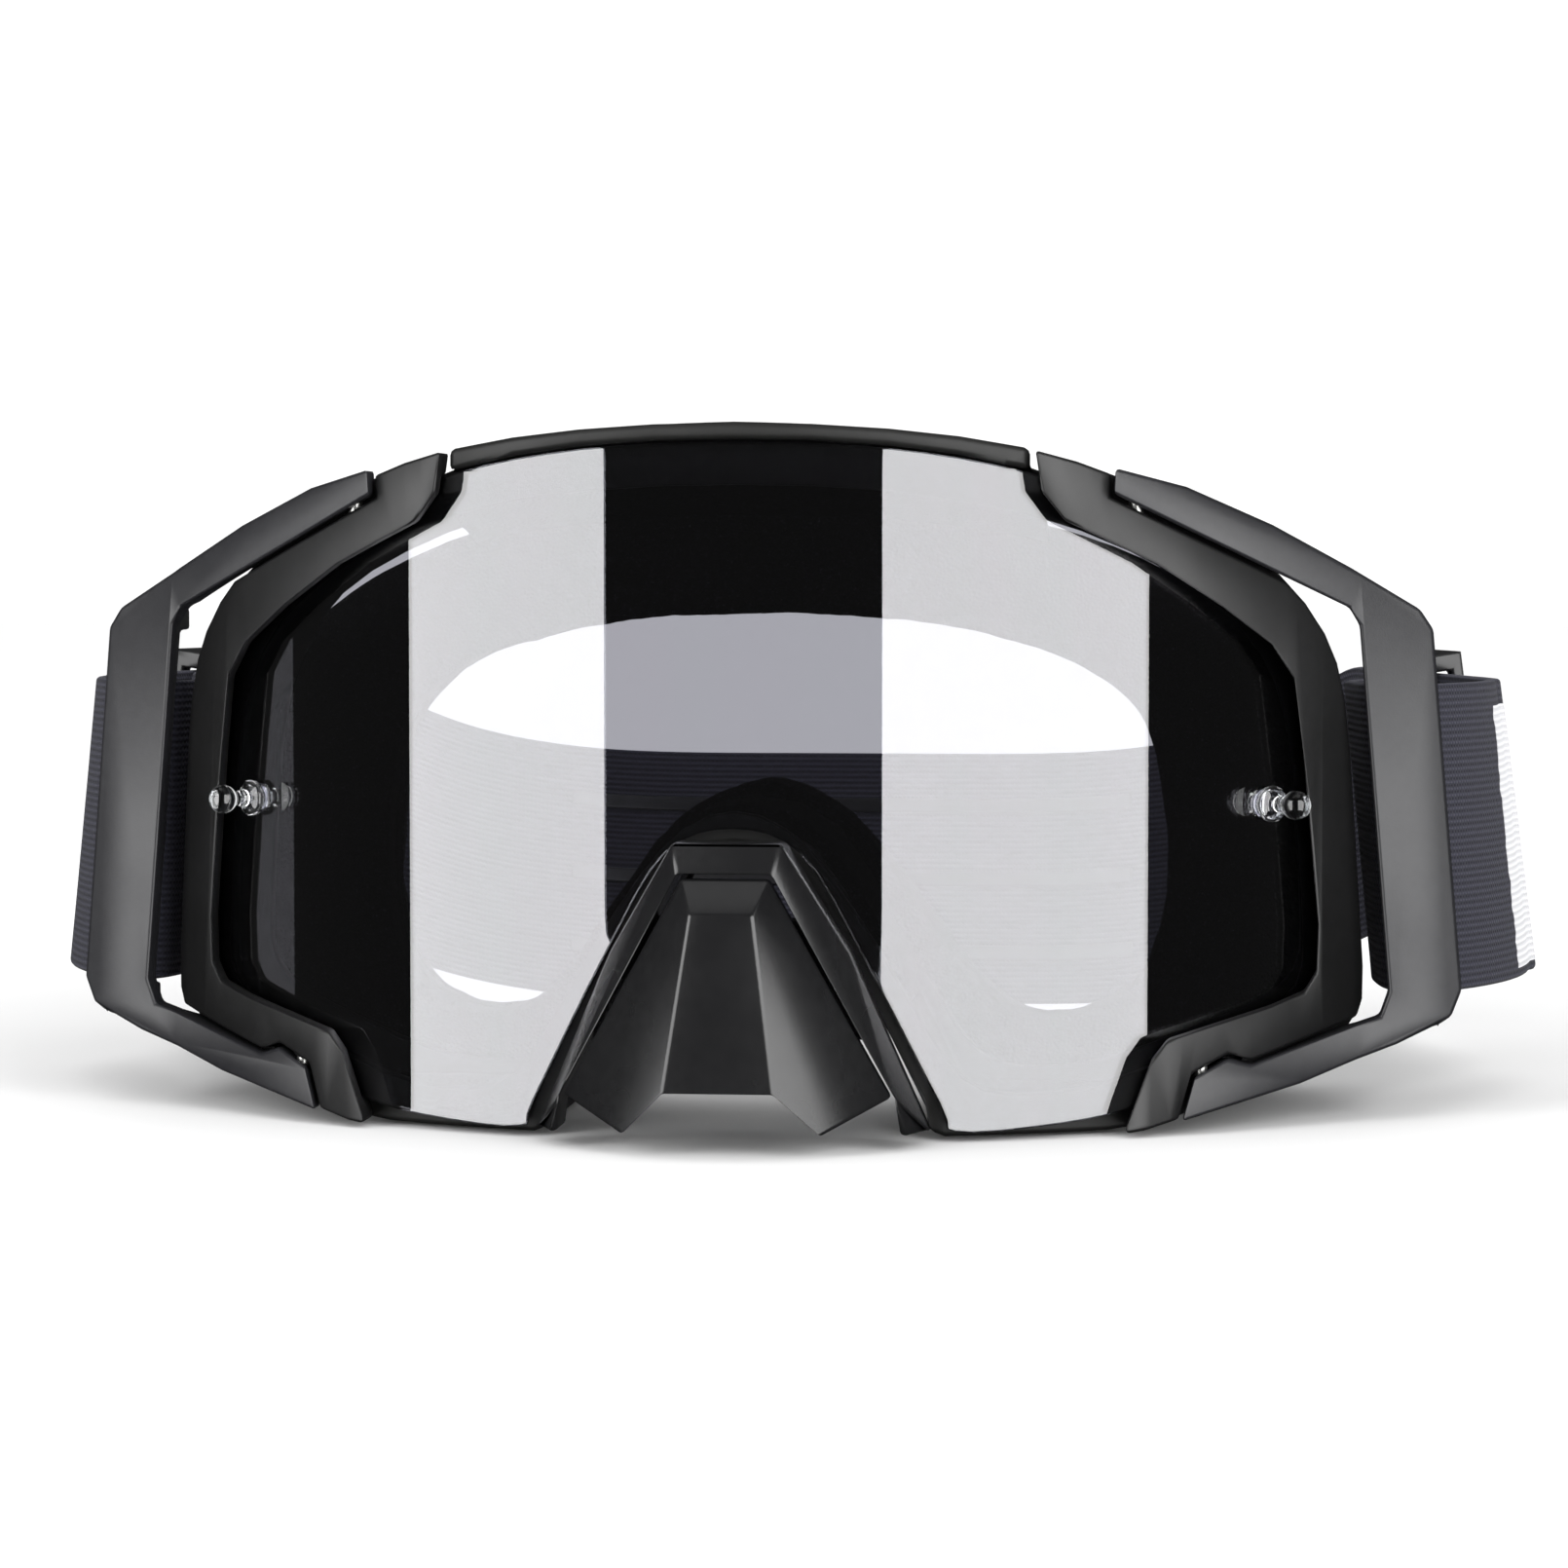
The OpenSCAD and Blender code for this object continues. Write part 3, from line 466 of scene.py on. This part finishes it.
def at_depth(p, face_radius, inset):
    """Moves an outline point in to the sloping sides and brow, on a cylinder of the face curve."""
    y = on_cylinder(face_radius, p.x, FACE_Y)
    for _ in range(3):
        side_room = FRAME_SIDE - max(0.0, y - BEND_Y) * math.tan(math.radians(SIDE_SLOPE)) - inset
        brow_room = FRAME_TOP - y * math.tan(math.radians(BROW_SLOPE)) - inset
        x = p.x * side_room / FRAME_SIDE
        shrunk = FRAME_WAIST + (p.y - FRAME_WAIST) * (brow_room - FRAME_WAIST) / (FRAME_TOP - FRAME_WAIST)
        z = min(p.y, shrunk) if p.y > FRAME_WAIST else p.y
        y = on_cylinder(face_radius, x, FACE_Y)
    return x, y, max(inset, z)


def spaced(line, count):
    """Evenly spaced points along an open line, without its last point."""
    steps = [(b - a).length for a, b in zip(line, line[1:])]
    made, i, gone = [], 0, 0.0
    for k in range(count):
        want = sum(steps) * k / count
        while gone + steps[i] < want:
            gone += steps[i]
            i += 1
        made.append(line[i].lerp(line[i + 1], (want - gone) / steps[i]))
    return made


def matched_line(half, corners, counts, steps=6):
    """Closed outline whose stretches between its corners have the same number of points on every ring."""
    right = whole_outline(half, steps)[:(len(half) - 1) * steps + 1]
    points = []
    for first, last, count in zip(corners, corners[1:], counts):
        points += spaced(right[first * steps:last * steps + 1], count)
    points.append(right[-1])
    return points + [Vector((-p.x, p.y)) for p in reversed(points[1:-1])]


COUNTS = (56, 34, 34)
outer_line = matched_line(frame_half, (0, 9, 15, 19), COUNTS)
eye_line = matched_line(eye_half, (0, 5, 8, 12), COUNTS)


def foam_ring(name, node, front_r, back_r, ragged_mm, material):
    rings = []
    for radius, line, edge in ((front_r, outer_line, 0.7), (back_r, outer_line, 0.9),
                               (back_r, eye_line, 0), (front_r, eye_line, 0)):
        rings.append([place(*at_depth(p, radius, edge)) if line is outer_line
                      else place(p.x, on_cylinder(radius, p.x, FACE_Y), p.y) for p in line])
    steps = 6
    across = [rings[0], rings[1]] + [[a.lerp(b, k / steps) for a, b in zip(rings[1], rings[2])]
                                     for k in range(1, steps)] + [rings[2], rings[3]]
    across += [[a.lerp(b, k / steps) for a, b in zip(rings[3], rings[0])] for k in range(1, steps)]
    bm = bmesh.new()
    loop = [bm.verts.new(p) for p in rings[0]]
    edges = [bm.edges.new(pair) for pair in zip(loop, loop[1:] + loop[:1])]
    for ring in across[1:] + across[:1]:
        index = {tuple(v.co): i for i, v in enumerate(loop)}
        grown = bmesh.ops.extrude_edge_only(bm, edges=edges)["geom"]
        edges = [g for g in grown if isinstance(g, bmesh.types.BMEdge)]
        loop = sorted((g for g in grown if isinstance(g, bmesh.types.BMVert)),
                      key=lambda v: index[tuple(v.co)])
        for v, p in zip(loop, ring):
            v.co = p
    bmesh.ops.remove_doubles(bm, verts=bm.verts, dist=0.01 * MM)
    bmesh.ops.recalc_face_normals(bm, faces=bm.faces)
    rim = [e for e in bm.edges if len(e.link_faces) == 2 and e.calc_face_angle(0) > math.radians(50)]
    bmesh.ops.bevel(bm, geom=rim, offset=min(0.9, abs(front_r - back_r) * 0.35) * MM, offset_type="OFFSET",
                    segments=3, profile=0.5, affect="EDGES", material=-1, clamp_overlap=False)
    bm.normal_update()
    for v in bm.verts:
        lump = noise.noise(v.co * 140) + 0.5 * noise.noise(v.co * 520)
        v.co += v.normal * (lump - 0.25) * ragged_mm * MM
        v.co.z = max(v.co.z, 0.4 * MM)
    piece = make_piece(name, bm, material, "root", crease=80)
    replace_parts(piece, node)


foam_ring("foam_base", "face_foam_base", 131.9, 126.1, 0.25, firm_foam)
foam_ring("foam_mid", "face_foam_mid", 125.9, 122.1, 0.35, open_cell_foam)
foam_ring("foam_fleece", "face_foam_skin", 121.9, 120.1, 0.45, brushed_fleece)

# %% [markdown]
# ## Filter foam
# Thin foam covers the vents from inside and lines the nose arch. We copy each CAD
# strip, cut it into small cells and let noise swell them.

# %% Swell the filter foam strips
def filter_foam(node, name):
    bm = bmesh.new()
    bm.from_mesh(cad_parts[node].data)
    bmesh.ops.remove_doubles(bm, verts=bm.verts, dist=0.02 * MM)
    bmesh.ops.dissolve_limit(bm, angle_limit=math.radians(2), verts=bm.verts, edges=bm.edges)
    bmesh.ops.triangulate(bm, faces=bm.faces)
    for _ in range(3):
        long = [e for e in bm.edges if e.calc_length() > 1.6 * MM]
        bmesh.ops.subdivide_edges(bm, edges=long, cuts=1)
        bmesh.ops.triangulate(bm, faces=bm.faces)
    bm.normal_update()
    for v in bm.verts:
        v.co += v.normal * (noise.noise(v.co * 420) * 0.2 - 0.15) * MM
        v.co.z = max(v.co.z, 0.1 * MM)
    piece = make_piece(name, bm, open_cell_foam, "root", crease=60)
    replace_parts(piece, node)


filter_foam("nose_foam", "filter_nose")
filter_foam("vent_foam_top", "filter_top")
filter_foam("vent_foam_bottom", "filter_bottom")

# %% [markdown]
# ## The strap's route
# The strap is one flat band. From the slider it runs forward, turns round the rod
# behind the outrigger and comes back beside itself to the slider, where its end
# is sewn. The same points drive the CAD strap, so the two agree.

# %% Route of the band from above, and its height and lean
ROD = Vector((87.485, 44.0))
RUN_START, RUN_END = ROD + Vector((14.7, 38)), ROD + Vector((-1, 94))
RUN_DIR = (RUN_END - RUN_START).normalized()
RUN_OUT = Vector((RUN_DIR.y, -RUN_DIR.x))
SLIDER_AT = (RUN_START + RUN_END) / 2
STRAP_W, STRAP_T, LAYER_GAP, STRAP_BACK, TURN_R = 42.0, 1.8, 4.1, 178.0, 3.3


def round_rod(degrees):
    return ROD + TURN_R * Vector((math.cos(math.radians(degrees)), math.sin(math.radians(degrees))))


inner_start = SLIDER_AT - RUN_OUT * LAYER_GAP + RUN_DIR * 2
inner_route = smooth_line([inner_start + RUN_DIR * 10, inner_start, inner_start - RUN_DIR * 16,
                           ROD + Vector((5, 40)), ROD + Vector((-1.6, 28)), ROD + Vector((-5, 18)),
                           ROD + Vector((-5, 9)), round_rod(213), ROD + TURN_R * Vector((1, -1))], 8)
turn_route = [round_rod(a) for a in range(220, 317, 8)]
outer_route = smooth_line([ROD + TURN_R * Vector((-1, -1)), round_rod(317), ROD + Vector((8.6, 6)),
                           ROD + Vector((13, 16)), ROD + Vector((15, 27)), RUN_START, RUN_END], 8)
end_route = inner_route + turn_route + outer_route + [SLIDER_AT]
back_half = [SLIDER_AT] + smooth_line([RUN_START, RUN_END, Vector((70, 159)), Vector((45, 171.5)),
                                       Vector((20, 177)), Vector((0, 178)), Vector((-20, 177))], 10)
back_route = back_half + [Vector((-p.x, p.y)) for p in reversed(back_half[:-1])]


def settled(p):
    return eased((p.y - RUN_END.y) / (STRAP_BACK - RUN_END.y))


def lean_at(p):
    s = -1 if p.x < 0 else 1
    turned = eased((p.y - ROD.y - 4) / 30)
    rod_lean = Vector((math.tan(math.radians(4.9)), 0))
    run_lean = RUN_OUT * math.tan(math.radians(8))
    lean = (rod_lean * (1 - turned) + run_lean * turned) * (1 - settled(p))
    return Vector((-s * lean.x, -lean.y, 1)).normalized()


print("strap around the head:", round(sum((b - a).length for a, b in zip(back_route, back_route[1:]))), "mm")

# %% [markdown]
# A grid gives us the band's quads and its UV map in one step. We lay its rows
# along the route, spaced by real length, then give it thickness and soft
# selvedges with modifiers.

# %% Lay a grid along a route
SELVEDGE = 0.6


def laid_band(name, route, sign, low, high, out_mm, thick_mm, material, rows=16, torn=0.0):
    lengths = [0.0]
    for a, b in zip(route, route[1:]):
        lengths.append(lengths[-1] + (b - a).length)
    count = max(6, int(lengths[-1] / 1.5))
    bm = bmesh.new()
    uv = bm.loops.layers.uv.new("band")
    bmesh.ops.create_grid(bm, x_segments=count, y_segments=rows, size=1.0)
    grid = {v: ((v.co.x + 1) / 2, (v.co.y + 1) / 2) for v in bm.verts}
    for face in bm.faces:
        for loop in face.loops:
            u, w = grid[loop.vert]
            loop[uv].uv = (u * lengths[-1], low + w * (high - low))
    for v, (u, w) in grid.items():
        height = low + w * (high - low)
        rough = noise.noise(Vector((0, 0, height * 0.11))) + 0.2 * noise.noise(Vector((3, 0, height * 0.6)))
        want, i = max(0.0, u * lengths[-1] + torn * (rough + 1) * (1 - u) ** 6), 0
        while i < len(lengths) - 2 and lengths[i + 1] < want:
            i += 1
        share = (want - lengths[i]) / max(1e-9, lengths[i + 1] - lengths[i])
        p = route[i].lerp(route[i + 1], share)
        ahead = route[min(len(route) - 1, i + 2)] - route[max(0, i - 1)]
        d = ahead.normalized()
        out = Vector((d.y, -d.x, 0))
        up = lean_at(p)
        middle = 21 + 16 * (1 - settled(p))
        spot = Vector((p.x, p.y, middle)) + out * out_mm + up * height
        v.co = place(sign * spot.x, spot.y, max(spot.z, 0.02))
    bmesh.ops.recalc_face_normals(bm, faces=bm.faces)
    piece = make_piece(name, bm, material, crease=70)
    wall = piece.modifiers.new("thickness", "SOLIDIFY")
    wall.thickness, wall.offset = thick_mm * MM, 0.0
    soft = piece.modifiers.new("selvedge", "BEVEL")
    soft.width, soft.segments, soft.limit_method = min(SELVEDGE, thick_mm * 0.45) * MM, 3, "ANGLE"
    bpy.context.view_layer.update()
    final = bpy.data.meshes.new_from_object(piece.evaluated_get(bpy.context.evaluated_depsgraph_get()))
    piece.modifiers.clear()
    piece.data = final
    return piece


HALF_W = STRAP_W / 2
strap = laid_band("strap_back", back_route, 1, -HALF_W, HALF_W, 0, STRAP_T, knitted_elastic)
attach(strap, "root")
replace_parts(strap, "strap")

# %% [markdown]
# The ends of the strap move with the outriggers while the slider stays with the
# head. Here each end piece is laid along its route and left without a body.

# %% Strap ends, laid along their route
for side, sign in (("left", 1), ("right", -1)):
    end = laid_band("strap_loop_" + side, end_route, sign, -HALF_W, HALF_W, 0, STRAP_T, knitted_elastic)
    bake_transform(end)
    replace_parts(end, "strap_end_" + side)

# %% [markdown]
# ## A plain white print
# One long block of white ink is screened on the outside of the strap, on the
# wearer's left. It is a thin skin of its own over the knit, with a rough edge.

# %% Screen printed block
outer_only = [p for p in outer_route if p.y > ROD.y + 12.5]
INK_OUT, INK_T = STRAP_T / 2 + 0.06, 0.08
ink = laid_band("strap_print", outer_only + [SLIDER_AT - RUN_DIR * 12], 1, -19.5, 17.5, INK_OUT, INK_T,
                white_print, rows=60, torn=4.0)
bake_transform(ink)

# %% [markdown]
# ## Grip beads
# Three lines of silicone are printed inside the back of the strap, so that it
# does not slip on a helmet.

# %% Lines of silicone
skip = sum(1 for p in back_half if p.y < STRAP_BACK - 8)
for k in (-1, 0, 1):
    mid = k * STRAP_W / 3.4
    bead = laid_band(f"grip_bead_{k + 2}", back_route[skip:-skip], 1, mid - 1.2, mid + 1.2, -1.2, 0.6,
                     silicone_bead, rows=4)
    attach(bead, "root")
    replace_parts(bead, "strap_grip_beads")

# %% [markdown]
# ## Floor, light and camera
# The goggles stand on pale paper. Its colour is painted a little greyer close to
# them, a painted shadow, so that a soft shadow shows. Two tall soft boxes stand left and
# right of the camera: the curved lens shows each of them as a bright upright band.
# A faint light from above lifts the brow.

# %% Floor
bm = bmesh.new()
bmesh.ops.create_grid(bm, x_segments=2, y_segments=2, size=4.0)
paper = bpy.data.materials.new("white_paper")
paper.use_nodes = True
paper_shader = paper.node_tree.nodes["Principled BSDF"]
tree = paper.node_tree
where = add(tree, "ShaderNodeTexCoord")
# Painted shadow: the paper's colour is greyer within 0.12 m of the goggles and fades to near white at 0.4 m.
away = add(tree, "ShaderNodeVectorMath", {0: where.outputs["Object"]}, operation="LENGTH")
shadow_fade = add(tree, "ShaderNodeMapRange", {"Value": away.outputs["Value"], "From Min": 0.12,
            "From Max": 0.4}, interpolation_type="SMOOTHSTEP")
painted_shade = add(tree, "ShaderNodeValToRGB", {"Fac": shadow_fade.outputs["Result"]})
painted_shade.color_ramp.elements[0].color, painted_shade.color_ramp.elements[1].color = linear("#dedede"), linear("#f8f8f8")
tree.links.new(painted_shade.outputs["Color"], paper_shader.inputs["Base Color"])
paper_shader.inputs["Roughness"].default_value = 0.9
mesh = bpy.data.meshes.new("floor")
bm.to_mesh(mesh)
bm.free()
mesh.materials.append(paper)
floor = bpy.data.objects.new("floor", mesh)
floor.location.z = -0.0005
bpy.context.scene.collection.objects.link(floor)
floor.visible_glossy = False
floor.visible_transmission = False

# %% [markdown]
# The studio is a white tent with a dark wall behind the camera. Mirrored rays see
# that dark wall, and so do rays that the lens turns back from its inner face. The
# floor is left out of both, so the lens stays clear and black between its bands.

# %% Lights
def soft_box(name, middle, target, width, height, watts):
    light = bpy.data.lights.new(name, "AREA")
    light.shape, light.size, light.size_y, light.energy = "RECTANGLE", width, height, watts
    box = bpy.data.objects.new(name, light)
    box.location = middle
    box.rotation_euler = (Vector(target) - Vector(middle)).to_track_quat("-Z", "Y").to_euler()
    bpy.context.scene.collection.objects.link(box)


LENS_AT = (0, -0.08, 0.10)
soft_box("soft_box_left", (-0.624, -0.666, 0.10), LENS_AT, 0.56, 1.3, 13)
soft_box("soft_box_right", (0.551, -0.696, 0.10), LENS_AT, 0.71, 1.3, 16.5)
soft_box("soft_box_top", (0, -0.05, 0.9), (0, -0.05, 0), 0.9, 0.6, 1)

world = bpy.data.worlds.new("studio")
bpy.context.scene.world = world
world.use_nodes = True
tree = world.node_tree
tree.nodes.clear()
ray = add(tree, "ShaderNodeLightPath")
mirrored = add(tree, "ShaderNodeMath",
               {0: ray.outputs["Is Glossy Ray"], 1: ray.outputs["Is Reflection Ray"]}, operation="MULTIPLY")
where = add(tree, "ShaderNodeTexCoord")
heading = add(tree, "ShaderNodeSeparateXYZ", {"Vector": where.outputs["Generated"]})
forwards = add(tree, "ShaderNodeMath", {0: heading.outputs["Y"], 1: 0.0}, operation="LESS_THAN")
through = add(tree, "ShaderNodeMath", {0: ray.outputs["Is Transmission Ray"], 1: forwards.outputs[0]},
              operation="MULTIPLY")
dark = add(tree, "ShaderNodeMath", {0: mirrored.outputs[0], 1: through.outputs[0]}, operation="MAXIMUM")
TENT, DARK_WALL = 1.15, 0.04
bright = add(tree, "ShaderNodeBackground", {"Color": (1, 1, 1, 1), "Strength": TENT})
dim = add(tree, "ShaderNodeBackground", {"Color": (1, 1, 1, 1), "Strength": DARK_WALL})
mix = add(tree, "ShaderNodeMixShader", {0: dark.outputs[0], 1: bright.outputs[0], 2: dim.outputs[0]})
add(tree, "ShaderNodeOutputWorld", {"Surface": mix.outputs[0]})
bpy.context.scene.view_settings.view_transform = "Standard"

# %% Camera
camera_data = bpy.data.cameras.new("camera")
camera_data.lens, camera_data.sensor_width = 101.3, 36.0
camera = bpy.data.objects.new("camera", camera_data)
camera.location = place(65.81, -562.56, 75.75)
turn, dip = math.radians(6), math.radians(3)
look = Vector((-math.sin(turn) * math.cos(dip), math.cos(turn) * math.cos(dip), -math.sin(dip)))
camera.rotation_euler = look.to_track_quat("-Z", "Y").to_euler()
bpy.context.scene.collection.objects.link(camera)
bpy.context.scene.camera = camera
